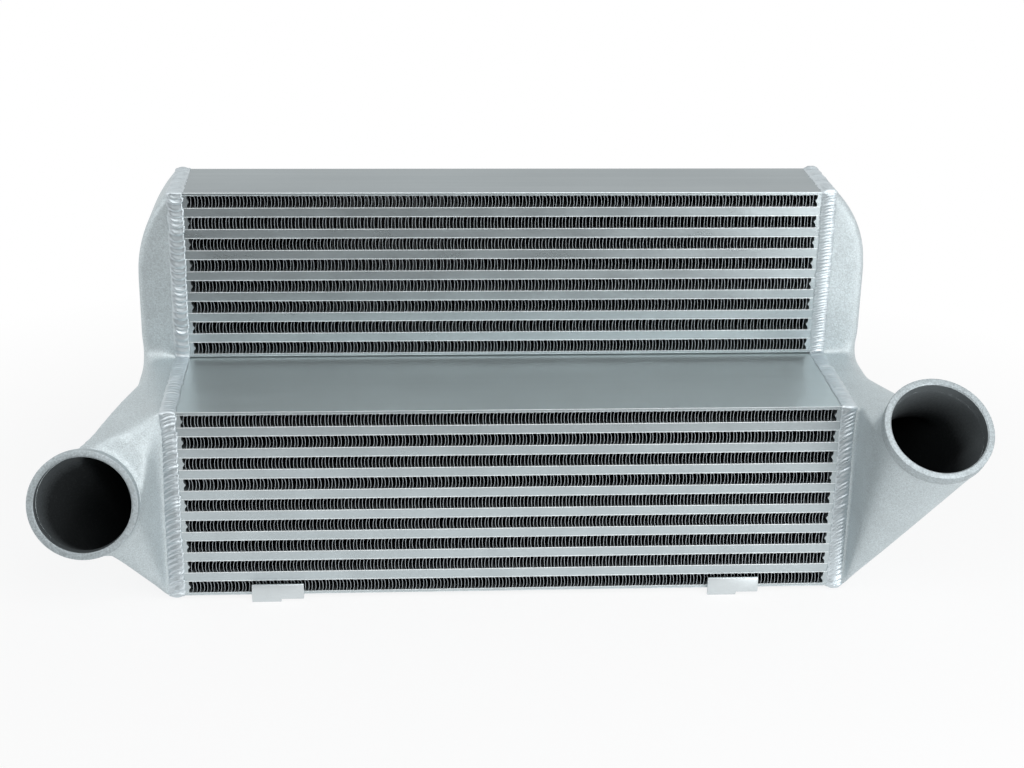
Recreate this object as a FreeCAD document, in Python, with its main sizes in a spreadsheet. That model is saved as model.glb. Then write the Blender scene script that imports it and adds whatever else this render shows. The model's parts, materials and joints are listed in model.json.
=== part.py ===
import FreeCAD, Part
import math
import os
import Sketcher

# A stepped bar-and-plate intercooler: a deep lower core, a shallow upper core at its back,
# a hollow cast tank with a hose port on each end, and two small brackets under the front.
# Before the shift to the part's own origin, X is 0 at the middle of the cores, Y is 0 at the
# front face of the lower core, and Z is 0 at its underside. -Y is the front.

Vector = FreeCAD.Vector

# Driving dimensions in millimetres and degrees
SIZES = {
    # cores
    "core_width": 520.0,
    "lower_depth": 190.5,
    "upper_depth": 73.6,
    "fin_height": 9.6,
    "charge_height": 6.6,
    "sheet_thickness": 0.6,
    "plate_thickness": 2.5,
    "core_gap": 0.8,
    "gap_setback": 3.0,
    "long_bar_width": 6.0,
    "end_bar_width": 9.0,
    "end_bar_nose": 3.0,
    # corrugated strips
    "air_fin_metal": 0.5,
    "air_fin_end_gap": 0.4,
    "turbulator_metal": 0.8,
    # end tanks
    "tank_wall": 5.0,
    "tank_front_flat": 6.5,
    "tank_top_flat": 5.0,
    "left_tank_reach": 31.3,
    "left_crown_radius": 104.0,
    "right_tank_reach": 33.0,
    "right_crown_radius": 85.0,
    "flare_depth": 71.0,
    "flare_front_rim": 10.0,
    # ports
    "port_outer_radius": 41.25,
    "port_bore_radius": 36.0,
    "left_port_out": 60.3,
    "left_port_forward": 36.4,
    "left_port_height": 95.5,
    "left_port_pitch": 15.8,
    "left_port_yaw": 0.0,
    "left_port_length": 10.0,
    "right_port_out": 48.6,
    "right_port_forward": 70.1,
    "right_port_height": 165.0,
    "right_port_pitch": 49.2,
    "right_port_yaw": 2.8,
    "right_port_length": 10.0,
    "port_land": 0.5,
    # weld beads
    "bead_width": 12.5,
    "bead_inner_edge": 7.5,
    "bead_height": 2.5,
    # brackets
    "bracket_width": 40.2,
    "bracket_metal": 2.0,
    "bracket_standoff": 2.5,
    "bracket_rise": 10.5,
    "bracket_lip_drop": 4.3,
    "bracket_lip_width": 22.8,
    "bracket_flange_depth": 25.0,
    "left_bracket_from_end": 59.2,
    "right_bracket_from_end": 63.2,
}

# Numbers of rows and of walls in the corrugated strips
LOWER_AIR_ROWS = 9
UPPER_AIR_ROWS = 8
AIR_FIN_WALLS = 66
LOWER_TURBULATOR_WALLS = 12
UPPER_TURBULATOR_WALLS = 5

# Each edge of a flare's square end runs to one point of the round port. These are the turns
# of the points of the top, back and bottom edge, in degrees from the outward direction.
FLARE_TURNS = {
    "left": (94.0, 83.0, -112.0),
    "right": (95.0, 30.0, 0.0),
}

# The fan at each corner of a flare turns by at most this much from one fold to the next, in degrees
FAN_STEP = 6.0

document = FreeCAD.newDocument("intercooler")


def make_sheet():
    """The spreadsheet with one aliased cell for each driving dimension."""
    cells = document.addObject("Spreadsheet::Sheet", "Sizes")
    for row, (alias, value) in enumerate(SIZES.items(), start=1):
        cells.set("A%d" % row, alias)
        cells.set("B%d" % row, str(value))
        cells.setAlias("B%d" % row, alias)
    document.recompute()
    return cells


sheet = make_sheet()


def size(alias):
    """The value of one cell of the spreadsheet."""
    return float(sheet.get(alias))


def add_derived(values):
    """More cells, worked out from the driving dimensions."""
    for row, (alias, value) in enumerate(values.items(), start=len(SIZES) + 1):
        sheet.set("A%d" % row, alias)
        sheet.set("B%d" % row, repr(value))
        sheet.setAlias("B%d" % row, alias)
    document.recompute()


# Heights that follow from the rows
tube_height = size("charge_height") + 2 * size("sheet_thickness")
row_pitch = size("fin_height") + tube_height
lower_height = (2 * size("plate_thickness") + LOWER_AIR_ROWS * size("fin_height")
                + (LOWER_AIR_ROWS - 1) * tube_height)
upper_height = (2 * size("plate_thickness") + UPPER_AIR_ROWS * size("fin_height")
                + (UPPER_AIR_ROWS - 1) * tube_height)
upper_bottom = lower_height + size("core_gap")
top_height = upper_bottom + upper_height
upper_front = size("lower_depth") - size("upper_depth")
core_half = size("core_width") / 2


def port_direction(side_name):
    """The unit vector that points out of a port's mouth."""
    side = -1 if side_name == "left" else 1
    pitch = math.radians(size(side_name + "_port_pitch"))
    yaw = math.radians(size(side_name + "_port_yaw"))
    return Vector(side * math.sin(yaw) * math.cos(pitch), -math.cos(yaw) * math.cos(pitch), math.sin(pitch))


def port_centre(side_name):
    """The middle of a port's mouth."""
    side = -1 if side_name == "left" else 1
    return Vector(side * (core_half + size(side_name + "_port_out")),
                  -size(side_name + "_port_forward"), size(side_name + "_port_height"))


def port_span(side_name, axis):
    """How far the rim of a port reaches from its centre along X, Y or Z."""
    direction = port_direction(side_name)
    return size("port_outer_radius") * math.sqrt(1 - direction[axis] ** 2)


# The origin is under the middle of the whole part, at its lowest point
lowest = -max(size("bracket_lip_drop"), size("bead_height"))
most_left = port_centre("left").x - port_span("left", 0)
most_right = port_centre("right").x + port_span("right", 0)
foremost = min(port_centre(name).y - port_span(name, 1) for name in ("left", "right"))
rearmost = size("lower_depth") + size("bead_height")
datum = Vector(-(most_left + most_right) / 2, -(foremost + rearmost) / 2, -lowest)

add_derived({
    "datum_x": datum.x,
    "datum_y": datum.y,
    "datum_z": datum.z,
    "tube_height": tube_height,
    "row_pitch": row_pitch,
    "lower_height": lower_height,
    "upper_bottom": upper_bottom,
    "top_height": top_height,
    "upper_front": upper_front,
})

sub_parts = []


def keep(item, label):
    """Names an object as a sub-part that is written out."""
    item.Label = label
    sub_parts.append(item)
    return item


def place(item, x_rule, y_rule, z_rule):
    """Binds an object's position, measured from the cores, to the spreadsheet."""
    item.setExpression(".Placement.Base.x", "Sizes.datum_x + (%s)" % x_rule)
    item.setExpression(".Placement.Base.y", "Sizes.datum_y + (%s)" % y_rule)
    item.setExpression(".Placement.Base.z", "Sizes.datum_z + (%s)" % z_rule)


def set_solid(label, shape):
    """A sub-part whose shape is worked out here, set down at the part's origin."""
    item = document.addObject("Part::Feature", label)
    item.Shape = shape
    item.Placement = FreeCAD.Placement(datum, FreeCAD.Rotation())
    return item


def origin_item(body, role):
    """An origin plane or axis of a body."""
    for item in body.Origin.OriginFeatures:
        if item.Role == role:
            return item
    raise ValueError("no origin item " + role)


def new_sketch(body, name, plane_role):
    """An empty sketch on one of the body's own origin planes."""
    sketch = body.newObject("Sketcher::SketchObject", name)
    sketch.AttachmentSupport = (origin_item(body, plane_role), [""])
    sketch.MapMode = "FlatFace"
    return sketch


def add_outline(sketch, points):
    """A closed polygon of lines joined end to end. Returns the number of its first line."""
    first = sketch.GeometryCount
    count = len(points)
    for index in range(count):
        start = points[index]
        end = points[(index + 1) % count]
        sketch.addGeometry(Part.LineSegment(Vector(start[0], start[1], 0), Vector(end[0], end[1], 0)), False)
    for index in range(count):
        follower = first + (index + 1) % count
        sketch.addConstraint(Sketcher.Constraint("Coincident", first + index, 2, follower, 1))
    return first


def add_corner_rule(sketch, line, along, rule):
    """Binds the start point of a line to a distance from the sketch's origin, along X or Y."""
    value = {"X": sketch.Geometry[line].StartPoint.x, "Y": sketch.Geometry[line].StartPoint.y}[along]
    number = sketch.addConstraint(Sketcher.Constraint("Distance" + along, -1, 1, line, 1, value))
    sketch.setExpression("Constraints[%d]" % number, rule)


def add_ruled_outline(sketch, corners):
    """A polygon whose corners are each (x, y, x rule, y rule)."""
    first = add_outline(sketch, [(corner[0], corner[1]) for corner in corners])
    for index, corner in enumerate(corners):
        add_corner_rule(sketch, first + index, "X", corner[2])
        add_corner_rule(sketch, first + index, "Y", corner[3])


def add_pad(body, sketch, name, length_rule, reverse=False, both_ways=False):
    """A pad of a sketch with its length bound to a rule."""
    pad = body.newObject("PartDesign::Pad", name)
    pad.Profile = sketch
    pad.Reversed = reverse
    pad.Midplane = both_ways
    pad.setExpression("Length", length_rule)
    return pad


def corrugated_band(length, height, metal, walls):
    """The outline of a folded strip along X, from crest to crest, between Z 0 and height."""
    pitch = length / walls
    rise = metal * height / pitch
    upper = []
    lower = []
    for index in range(walls + 1):
        along = -length / 2 + index * pitch
        at_crest = index % 2 == 1
        upper.append(Vector(along, 0, height if at_crest else rise))
        lower.append(Vector(along, 0, height - rise if at_crest else 0))
    outline = upper + lower[::-1]
    return Part.Face(Part.makePolygon(outline + outline[:1]))


def make_air_fin(label, depth, front, bottom):
    """One strip of air fin: its folds run from the front of the core to the back."""
    end_bar = size("end_bar_width") + size("end_bar_nose") + size("air_fin_end_gap")
    face = corrugated_band(size("core_width") - 2 * end_bar, size("fin_height"),
                           size("air_fin_metal"), AIR_FIN_WALLS)
    face.translate(Vector(0, front, bottom))
    keep(set_solid(label, face.extrude(Vector(0, depth, 0))), label)


def make_turbulator(label, depth, front, bottom, walls):
    """One strip inside a charge tube: its folds run from tank to tank."""
    width = depth - 2 * size("long_bar_width")
    face = corrugated_band(width, size("charge_height"), size("turbulator_metal"), walls)
    face.rotate(Vector(0, 0, 0), Vector(0, 0, 1), 90)
    face.translate(Vector(-core_half, front + depth / 2, bottom))
    keep(set_solid(label, face.extrude(Vector(size("core_width"), 0, 0))), label)


def make_charge_tube(label, depth_alias, front_rule, bottom_rule):
    """A flat tube of two parting sheets and two long bars, open at both ends."""
    body = document.addObject("PartDesign::Body", label)
    sketch = new_sketch(body, label + "_section", "YZ_Plane")
    depth = size(depth_alias)
    bar = size("long_bar_width")
    metal = size("sheet_thickness")
    depth_rule = "Sizes." + depth_alias
    add_ruled_outline(sketch, [
        (0, 0, "0", "0"),
        (depth, 0, depth_rule, "0"),
        (depth, tube_height, depth_rule, "Sizes.tube_height"),
        (0, tube_height, "0", "Sizes.tube_height")])
    inner_end_rule = depth_rule + " - Sizes.long_bar_width"
    inner_top_rule = "Sizes.tube_height - Sizes.sheet_thickness"
    add_ruled_outline(sketch, [
        (bar, metal, "Sizes.long_bar_width", "Sizes.sheet_thickness"),
        (depth - bar, metal, inner_end_rule, "Sizes.sheet_thickness"),
        (depth - bar, tube_height - metal, inner_end_rule, inner_top_rule),
        (bar, tube_height - metal, "Sizes.long_bar_width", inner_top_rule)])
    body.Tip = add_pad(body, sketch, label + "_pad", "Sizes.core_width", both_ways=True)
    place(body, "0", front_rule, bottom_rule)
    keep(body, label)


def make_end_bars(label, side, rows, depth_alias, front_rule, bottom_rule):
    """The nosed bars that close one end of each air row, one above the other."""
    body = document.addObject("PartDesign::Body", label)
    sketch = new_sketch(body, label + "_section", "XZ_Plane")
    width = size("end_bar_width")
    nose = size("end_bar_nose")
    height = size("fin_height")
    sign = "-1 * " if side > 0 else ""
    inward = -side
    add_ruled_outline(sketch, [
        (0, 0, "0", "0"),
        (inward * width, 0, sign + "Sizes.end_bar_width", "0"),
        (inward * (width + nose), height / 2, sign + "(Sizes.end_bar_width + Sizes.end_bar_nose)",
         "Sizes.fin_height / 2"),
        (inward * width, height, sign + "Sizes.end_bar_width", "Sizes.fin_height"),
        (0, height, "0", "Sizes.fin_height")])
    pad = add_pad(body, sketch, label + "_pad", "Sizes." + depth_alias, reverse=True)
    document.recompute()
    pattern = body.newObject("PartDesign::LinearPattern", label + "_rows")
    pattern.Originals = [pad]
    pattern.Direction = (origin_item(body, "Z_Axis"), [""])
    pattern.Occurrences = rows
    pattern.setExpression("Length", "Sizes.row_pitch * %d" % (rows - 1))
    body.Tip = pattern
    end_rule = "Sizes.core_width / 2" if side > 0 else "-1 * Sizes.core_width / 2"
    place(body, end_rule, front_rule, bottom_rule)
    keep(body, label)


def make_plate(label, depth_rule, front_rule, bottom_rule):
    """A side plate over the whole width of a core."""
    plate = document.addObject("Part::Box", label)
    plate.setExpression("Length", "Sizes.core_width")
    plate.setExpression("Width", depth_rule)
    plate.setExpression("Height", "Sizes.plate_thickness")
    place(plate, "-1 * Sizes.core_width / 2", front_rule, bottom_rule)
    keep(plate, label)


def make_step_plate(label):
    """The top plate of the lower core. A low land on it carries the upper core."""
    plate = document.addObject("Part::Box", label + "_sheet")
    plate.setExpression("Length", "Sizes.core_width")
    plate.setExpression("Width", "Sizes.lower_depth")
    plate.setExpression("Height", "Sizes.plate_thickness")
    land = document.addObject("Part::Box", label + "_land")
    land.setExpression("Length", "Sizes.core_width")
    land.setExpression("Width", "Sizes.upper_depth - Sizes.gap_setback")
    land.setExpression("Height", "Sizes.core_gap")
    land.setExpression(".Placement.Base.y", "Sizes.upper_front + Sizes.gap_setback")
    land.setExpression(".Placement.Base.z", "Sizes.plate_thickness")
    joined = document.addObject("Part::Fuse", label)
    joined.Base = plate
    joined.Tool = land
    place(joined, "-1 * Sizes.core_width / 2", "0", "Sizes.lower_height - Sizes.plate_thickness")
    keep(joined, label)


def make_core(name, rows, depth_alias, front, front_rule, bottom, bottom_rule, turbulator_walls):
    """Fins, tubes, turbulators and end bars of one core, numbered from the bottom."""
    depth = size(depth_alias)
    for row in range(rows):
        fin_bottom = bottom + size("plate_thickness") + row * row_pitch
        make_air_fin("%s_air_fin_%d" % (name, row + 1), depth, front, fin_bottom)
    for row in range(rows - 1):
        tube_rule = "%s + Sizes.plate_thickness + Sizes.fin_height + Sizes.row_pitch * %d" % (bottom_rule, row)
        make_charge_tube("%s_charge_tube_%d" % (name, row + 1), depth_alias, front_rule, tube_rule)
        inside = bottom + size("plate_thickness") + size("fin_height") + row * row_pitch + size("sheet_thickness")
        make_turbulator("%s_turbulator_%d" % (name, row + 1), depth, front, inside, turbulator_walls)
    bars_rule = bottom_rule + " + Sizes.plate_thickness"
    make_end_bars(name + "_left_end_bars", -1, rows, depth_alias, front_rule, bars_rule)
    make_end_bars(name + "_right_end_bars", 1, rows, depth_alias, front_rule, bars_rule)


def prism(points, sweep):
    """A straight solid over a closed outline of points."""
    return Part.Face(Part.makePolygon(points + points[:1])).extrude(sweep)


def side_sign(side_name):
    """Which way along X a tank lies."""
    return -1 if side_name == "left" else 1


def tank_outer(side_name):
    """How far the outer wall of a tank is from the middle of the cores."""
    return core_half + size(side_name + "_tank_reach")


def upper_chamber(side_name, inset):
    """The tall chamber at the back: a side profile with a rounded shoulder, swept along Y."""
    side = side_sign(side_name)
    outer = tank_outer(side_name)
    radius = size(side_name + "_crown_radius")
    centre_out = outer - radius
    flat_end = core_half + size("tank_top_flat")
    centre_height = top_height - math.sqrt(radius ** 2 - (flat_end - centre_out) ** 2)
    arc_radius = radius - inset
    roof = top_height - inset
    top_angle = math.asin((roof - centre_height) / arc_radius)

    def on_arc(angle):
        return Vector(side * (centre_out + arc_radius * math.cos(angle)), 0,
                      centre_height + arc_radius * math.sin(angle))

    foot_in = Vector(side * core_half, 0, inset)
    foot_out = Vector(side * (outer - inset), 0, inset)
    roof_in = Vector(side * core_half, 0, roof)
    edges = [
        Part.LineSegment(foot_in, foot_out).toShape(),
        Part.LineSegment(foot_out, on_arc(0)).toShape(),
        Part.Arc(on_arc(0), on_arc(top_angle / 2), on_arc(top_angle)).toShape(),
        Part.LineSegment(on_arc(top_angle), roof_in).toShape(),
        Part.LineSegment(roof_in, foot_in).toShape()]
    face = Part.Face(Part.Wire(edges))
    face.translate(Vector(0, upper_front + inset, 0))
    return face.extrude(Vector(0, size("upper_depth") - 2 * inset, 0))


def flare_ends(side_name, front_inset, back_inset):
    """The two ends, in plan, of the slanting plane where a flare begins."""
    side = side_sign(side_name)
    front = Vector(side * (core_half + size("tank_front_flat")), 0, 0)
    back = Vector(side * tank_outer(side_name), size("flare_depth"), 0)
    along = (back - front).normalize()
    return front + along * front_inset, back - along * back_inset


def lower_chamber(side_name, inset, front_inset):
    """The deep chamber beside the lower core, cut off in front by the slanting plane."""
    side = side_sign(side_name)
    front, back = flare_ends(side_name, front_inset, inset)
    outer = side * (tank_outer(side_name) - inset)
    depth = size("lower_depth") - inset
    plan = [Vector(side * core_half, inset, 0), front, back]
    if inset > 0:
        plan.append(Vector(outer, size("flare_depth") + inset, 0))
    plan.append(Vector(outer, depth, 0))
    plan.append(Vector(side * core_half, depth, 0))
    for point in plan:
        point.z = inset
    return prism(plan, Vector(0, 0, lower_height - 2 * inset))


def smooth_turn(reach, outward, upward, radius):
    """The turn of the point to which an upright edge runs with no crease beside its triangle.

    Reach runs from the edge to the middle of the circle. Of the two such points, the inner one
    is taken, as a turn between -360 and 0 degrees.
    """
    def in_plan(first, second):
        return first.x * second.y - first.y * second.x

    lean = math.atan2(in_plan(outward, reach), in_plan(upward, reach))
    distance = math.hypot(in_plan(outward, reach), in_plan(upward, reach))
    swing = math.acos(radius * in_plan(outward, upward) / distance)
    inner = min(swing - lean, -swing - lean, key=math.cos)
    return math.degrees(inner) % 360.0 - 360.0


def flare(side_name, inset, front_inset, radius):
    """The transition from the slanting rectangle to the round root of the port.

    Each edge of the rectangle carries a flat triangle, and each corner a fan that follows a cone.
    """
    front, back = flare_ends(side_name, front_inset, inset)
    low = Vector(0, 0, inset)
    high = Vector(0, 0, lower_height - inset)
    corners = [back + high, back + low, front + low, front + high]
    direction = port_direction(side_name)
    upward = (Vector(0, 0, 1) - direction * direction.z).normalize()
    outward = upward.cross(direction) * side_sign(side_name)
    root = port_centre(side_name) - direction * size(side_name + "_port_length")

    def on_port(turn):
        angle = math.radians(turn)
        return root + outward * (radius * math.cos(angle)) + upward * (radius * math.sin(angle))

    def flat(*points):
        return Part.Face(Part.makePolygon(list(points) + [points[0]]))

    turns = list(FLARE_TURNS[side_name])
    turns.append(smooth_turn(root - front, outward, upward, radius))
    turns.append(turns[0] - 360.0)
    faces = [flat(*corners)]
    rim = []
    for index, corner in enumerate(corners):
        faces.append(flat(corners[index - 1], corner, on_port(turns[index])))
        span = turns[index] - turns[index + 1]
        count = math.ceil(span / FAN_STEP)
        fan = [on_port(turns[index] - span * number / count) for number in range(count + 1)]
        for first, second in zip(fan, fan[1:]):
            faces.append(flat(corner, first, second))
        rim.extend(fan[:-1])
    faces.append(flat(*rim))
    skin = Part.makeCompound(faces)
    skin.sewShape()
    solid = Part.makeSolid(skin.Shells[0])
    if solid.Volume < 0:
        solid.reverse()
    return solid


def tank_form(side_name, inset, front_inset, radius, overrun):
    """The whole outer form of a tank, or the space inside it.

    The turned land at the mouth is a little wider than the cast root behind it.
    """
    direction = port_direction(side_name)
    length = size(side_name + "_port_length")
    root = port_centre(side_name) - direction * length
    root_radius = radius - size("port_land")
    form = upper_chamber(side_name, inset)
    form = form.fuse(lower_chamber(side_name, inset, front_inset))
    body = flare(side_name, inset, front_inset, root_radius)
    if side_name == "right":
        # The pipe rises out of the flat top of this flare
        deck = lower_height - inset
        room = size("core_width")
        below = Part.makeBox(2 * room, 2 * room, room, Vector(0, -room, deck - room))
        above = Part.makeBox(2 * room, 2 * room, room, Vector(0, -room, deck))
        body = body.common(below)
        rim_rise = root_radius * math.sqrt(1 - direction.z ** 2)
        stub_length = (root.z + rim_rise - deck) / direction.z
        stub = Part.makeCylinder(root_radius, stub_length, root, direction * -1)
        body = body.fuse(stub.common(above))
    form = form.fuse(body)
    form = form.fuse(Part.makeCylinder(radius, length + overrun, root, direction))
    return form.removeSplitter()


def make_tank(side_name):
    """A hollow end tank, open towards the cores and at its port."""
    label = side_name + "_end_tank"
    casting = set_solid(label + "_casting", tank_form(side_name, 0.0, 0.0, size("port_outer_radius"), 0.0))
    wall = size("tank_wall")
    space = set_solid(label + "_space",
                      tank_form(side_name, wall, size("flare_front_rim"), size("port_bore_radius"), wall))
    tank = document.addObject("Part::Cut", label)
    tank.Base = casting
    tank.Tool = space
    keep(tank, label)


def step_outline(grow):
    """The L-shaped end of the stacked cores in the YZ plane, grown by a distance."""
    back = size("lower_depth") + grow
    return [
        Vector(0, -grow, -grow),
        Vector(0, back, -grow),
        Vector(0, back, top_height + grow),
        Vector(0, upper_front - grow, top_height + grow),
        Vector(0, upper_front - grow, lower_height + grow),
        Vector(0, -grow, lower_height + grow)]


def make_weld_beads(label):
    """A crowned bead round each joint of tank and core, as one closed ring a side."""
    width = size("bead_width")
    height = size("bead_height")
    stations = [(0.0, 0.0), (0.2, 0.7), (0.5, 1.0), (0.8, 0.7), (1.0, 0.0)]
    rings = []
    for side in (-1, 1):
        inner_edge = core_half - size("bead_inner_edge")
        wires = []
        for share, rise in stations:
            outline = step_outline(height * rise)
            for point in outline:
                point.x = side * (inner_edge + share * width)
            wires.append(Part.makePolygon(outline + outline[:1]))
        belt = Part.makeLoft(wires, True, True)
        core = prism(step_outline(0.0), Vector(side * 2 * size("core_width"), 0, 0))
        rings.append(belt.cut(core))
    keep(set_solid(label, Part.makeCompound(rings)), label)


def make_bracket(label, left_edge_rule):
    """A folded tab: an upstand before the core, a lip that hangs down, a flange under the core."""
    body = document.addObject("PartDesign::Body", label)
    front = new_sketch(body, label + "_upstand_outline", "XZ_Plane")
    width = size("bracket_width")
    rise = size("bracket_rise")
    drop = size("bracket_lip_drop")
    lip = size("bracket_lip_width")
    metal = size("bracket_metal")
    add_ruled_outline(front, [
        (0, -drop, "0", "-1 * Sizes.bracket_lip_drop"),
        (lip, -drop, "Sizes.bracket_lip_width", "-1 * Sizes.bracket_lip_drop"),
        (lip, -metal, "Sizes.bracket_lip_width", "-1 * Sizes.bracket_metal"),
        (width, -metal, "Sizes.bracket_width", "-1 * Sizes.bracket_metal"),
        (width, rise, "Sizes.bracket_width", "Sizes.bracket_rise"),
        (0, rise, "0", "Sizes.bracket_rise")])
    add_pad(body, front, label + "_upstand", "Sizes.bracket_metal", reverse=True)
    floor = new_sketch(body, label + "_flange_outline", "XY_Plane")
    reach = metal + size("bracket_standoff") + size("bracket_flange_depth")
    reach_rule = "Sizes.bracket_metal + Sizes.bracket_standoff + Sizes.bracket_flange_depth"
    add_ruled_outline(floor, [
        (lip, 0, "Sizes.bracket_lip_width", "0"),
        (width, 0, "Sizes.bracket_width", "0"),
        (width, reach, "Sizes.bracket_width", reach_rule),
        (lip, reach, "Sizes.bracket_lip_width", reach_rule)])
    body.Tip = add_pad(body, floor, label + "_flange", "Sizes.bracket_metal", reverse=True)
    place(body, left_edge_rule, "-1 * (Sizes.bracket_metal + Sizes.bracket_standoff)", "0")
    keep(body, label)


make_core("lower", LOWER_AIR_ROWS, "lower_depth", 0.0, "0", 0.0, "0", LOWER_TURBULATOR_WALLS)
make_core("upper", UPPER_AIR_ROWS, "upper_depth", upper_front, "Sizes.upper_front",
          upper_bottom, "Sizes.upper_bottom", UPPER_TURBULATOR_WALLS)
make_plate("lower_bottom_plate", "Sizes.lower_depth", "0", "0")
make_step_plate("lower_top_plate")
make_plate("upper_bottom_plate", "Sizes.upper_depth", "Sizes.upper_front", "Sizes.upper_bottom")
make_plate("upper_top_plate", "Sizes.upper_depth", "Sizes.upper_front",
           "Sizes.top_height - Sizes.plate_thickness")
make_tank("left")
make_tank("right")
make_weld_beads("weld_beads")
make_bracket("left_bracket", "Sizes.left_bracket_from_end - Sizes.core_width / 2")
make_bracket("right_bracket", "Sizes.core_width / 2 - Sizes.right_bracket_from_end - Sizes.bracket_width")
document.recompute()


def check_document():
    """Stops if any object failed or any sub-part is not a sound solid."""
    for item in document.Objects:
        if "Invalid" in item.State or "Error" in item.State:
            raise RuntimeError("object failed: " + item.Label)
    for item in sub_parts:
        if item.Shape.isNull() or not item.Shape.isValid() or not item.Shape.Solids:
            raise RuntimeError("not a sound solid: " + item.Label)


check_document()
os.makedirs("parts", exist_ok=True)
for item in sub_parts:
    item.Shape.exportStep("parts/%s.step" % item.Label)
print("%d sub-parts written" % len(sub_parts))
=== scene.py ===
import bisect
import json
import math
import random

import bmesh
import bpy
from mathutils import Euler, Matrix, Vector
from mathutils.bvhtree import BVHTree


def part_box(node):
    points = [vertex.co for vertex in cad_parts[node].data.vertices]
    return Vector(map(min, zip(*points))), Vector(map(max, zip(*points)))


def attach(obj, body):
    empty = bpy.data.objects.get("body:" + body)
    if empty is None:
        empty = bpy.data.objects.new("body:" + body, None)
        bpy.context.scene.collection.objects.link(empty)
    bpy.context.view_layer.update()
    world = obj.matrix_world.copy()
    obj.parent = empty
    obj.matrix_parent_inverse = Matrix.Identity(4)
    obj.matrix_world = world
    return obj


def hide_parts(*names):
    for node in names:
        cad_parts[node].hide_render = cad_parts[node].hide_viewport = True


# The looks of a stepped bar-and-plate intercooler, in metres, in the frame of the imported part.
# -Y is the front, +Z is up, and the two ports face forward.

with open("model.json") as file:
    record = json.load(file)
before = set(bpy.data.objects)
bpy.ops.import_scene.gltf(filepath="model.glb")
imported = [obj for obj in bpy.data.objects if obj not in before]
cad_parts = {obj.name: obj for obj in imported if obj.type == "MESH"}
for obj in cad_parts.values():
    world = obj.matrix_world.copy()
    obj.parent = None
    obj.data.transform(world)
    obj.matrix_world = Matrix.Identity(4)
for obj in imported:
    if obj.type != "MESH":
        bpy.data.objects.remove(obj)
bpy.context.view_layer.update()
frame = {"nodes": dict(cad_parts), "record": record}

MM = 0.001
SIDES = {"left": -1, "right": 1}

# Points closer than this are one, in a mesh from the CAD and in a mesh made here
CAD_MERGE = 0.01 * MM
OWN_MERGE = 0.001 * MM

# The camera of the photograph
CAMERA_PLACE = (-0.0886, -1.3537, 0.6934)
CAMERA_TURN = (68.579, -0.945, -3.727)
CAMERA_LENS = 65.75
SENSOR_WIDTH = 36.0

# Air fins: folded strips with bowed walls, which also wave along the air's way. A wall leans by
# FIN_TIP pitches to each side, and its random shifts reach FIN_SHIFT. The bow is in millimetres. It
# swings along the strip in a long wave, with a start in half turns and a half wave in metres, and
# each wall takes a share of it. The points of a wall lie at the heights of FIN_PROFILE, and along
# the fold at FIN_STATIONS from both faces. From FIN_BRIGHT_DEPTH behind a face the metal's colour
# is painted dark, as painted shade deep in the passages.
FIN_WALL_PITCH = 2.7 * MM
FIN_METAL = 0.30 * MM
FIN_TIP = 0.07
FIN_SHIFT = 0.15 * MM
FIN_BOW = (0.55, 1.0)
FIN_BOW_TURN = 0.15
FIN_BOW_LENGTH = (1.2, 2.2)
FIN_BOW_CHANGE = (0.75, 1.25)
FIN_PROFILE = (0.0, 0.3, 0.7, 1.0)
FIN_WAVE_LENGTH = 11.0 * MM
FIN_WAVE = 0.5 * MM
FIN_STATIONS = (0.0, 0.7 * MM, 4.0 * MM, 9.0 * MM)
FIN_BRIGHT_DEPTH = 0.7 * MM
FIN_CREASE = 50

# Bars and plates: each is closed by the edge of a thin braze sheet. An eased edge has a middle
# point at SHOULDER of its width. A plate's front and back face the air by more than FRONT_FACING,
# and its groove and eased edges by more than EDGE_FACING; those edges, like the sheets' edges, get
# a painted highlight.
SHEET = 0.6 * MM
SHEET_EASE = 0.15 * MM
BAR_SETBACK = 0.35 * MM
BAR_DEPTH = 6.0 * MM
END_BAR_NOSE = 1.6 * MM
END_BAR_NOSE_SHARE = 0.24
PLATE_EASE = 0.45 * MM
PLATE_GROOVE = 0.14 * MM
SHOULDER = 0.3
FRONT_FACING = 0.9
EDGE_FACING = 0.3

# Brackets: their eased edges, and the angles in degrees below which faces are merged, above which
# edges are eased and above which edges stay sharp
BRACKET_EASE = 0.5 * MM
BRACKET_FLAT = 1.0
BRACKET_EDGE = 40
BRACKET_CREASE = 50

# The lower core's top plate has a low land that carries the upper core
LAND_HEIGHT = 0.8 * MM
LAND_SETBACK = 3.0 * MM

# Weld beads: their reach over the core and over the tank, their greatest height, the radius of
# their turns, the steps and columns of their mesh, where two rows of points close them below, the
# powers that shape their cross section, the start of their random draws, their least crease in
# degrees and the least number of steps in a turn
BEAD_INNER = 7.3 * MM
BEAD_OUTER = 5.2 * MM
BEAD_TOP = 2.45 * MM
BEAD_TURN = 1.5 * MM
BEAD_STEP = 0.62 * MM
BEAD_FINE_STEP = 0.3 * MM
BEAD_COLUMNS = 18
BEAD_KEEL = (0.96, 0.4 * MM)
BEAD_DOME = (2.2, 0.8)
BEAD_SEED = 17
BEAD_CREASE = 60
LEAST_TURN_STEPS = 4

# Ripples: where the first one starts and how far the last one ends past the path, the spread of
# their pitches and heights, how far their edges wander inwards and outwards and how much of that
# fades along a ripple, the share of a ripple in which it rises, the share of a run over which it
# eases into the next one, and the extra height and its reach at the corners of the path
RIPPLE_START = -12.0 * MM
RIPPLE_SPARE = 20.0 * MM
RIPPLE_PITCHES = (0.65, 1.35)
RIPPLE_HEIGHTS = (0.72, 1.08)
RIPPLE_WANDER = (-0.8 * MM, 0.5 * MM)
RIPPLE_FADE = 0.5
RIPPLE_RISE = 0.72
RUN_BLEND = 0.1
CORNER_LUMP = 0.35
CORNER_LUMP_REACH = 5.0 * MM

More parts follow.
